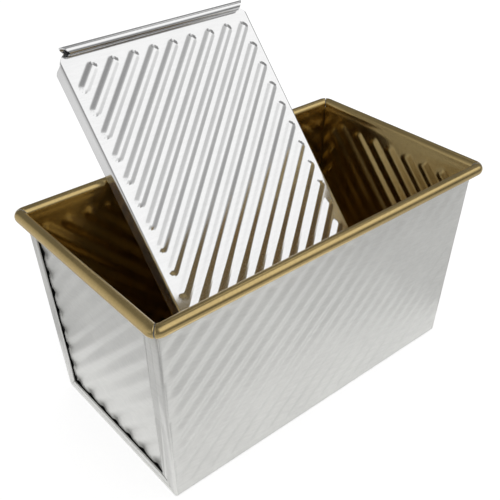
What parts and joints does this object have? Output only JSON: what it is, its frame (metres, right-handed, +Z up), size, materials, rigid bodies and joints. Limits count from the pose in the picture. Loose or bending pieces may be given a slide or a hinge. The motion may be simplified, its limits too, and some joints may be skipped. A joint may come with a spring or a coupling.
{
  "type": "loaf pan with lid",
  "caption": "Tall straight loaf pan of ribbed sheet metal with a rolled rim, and its ribbed slide-on lid leaning in the open pan.",
  "frame": {"origin": "centre of the pan's flat underside, where it stands on a surface", "axes": "+X along the pan's length, +Y from the front wall to the back wall, +Z up"},
  "size_m": [0.208, 0.1517, 0.1699],
  "materials": {
    "pan_steel": "aluminised steel sheet, bare outside, with a gold-brown non-stick coat inside and over the rolled rim",
    "wire_steel": "bare drawn steel wire, hidden in the rolled rim",
    "lid_steel": "bright aluminised steel sheet, bare"
  },
  "bodies": {
    "pan": {"body_sheet": "pan_steel", "left_end_panel": "pan_steel", "right_end_panel": "pan_steel", "rim_wire": "wire_steel"},
    "lid": {"lid": "lid_steel"}
  },
  "joints": [
    {"name": "lid_lift", "type": "slide", "parent": "pan", "child": "lid", "axis": [-0.013, 0.6515, 0.7586], "range_m": [0, 0.16]}
  ]
}
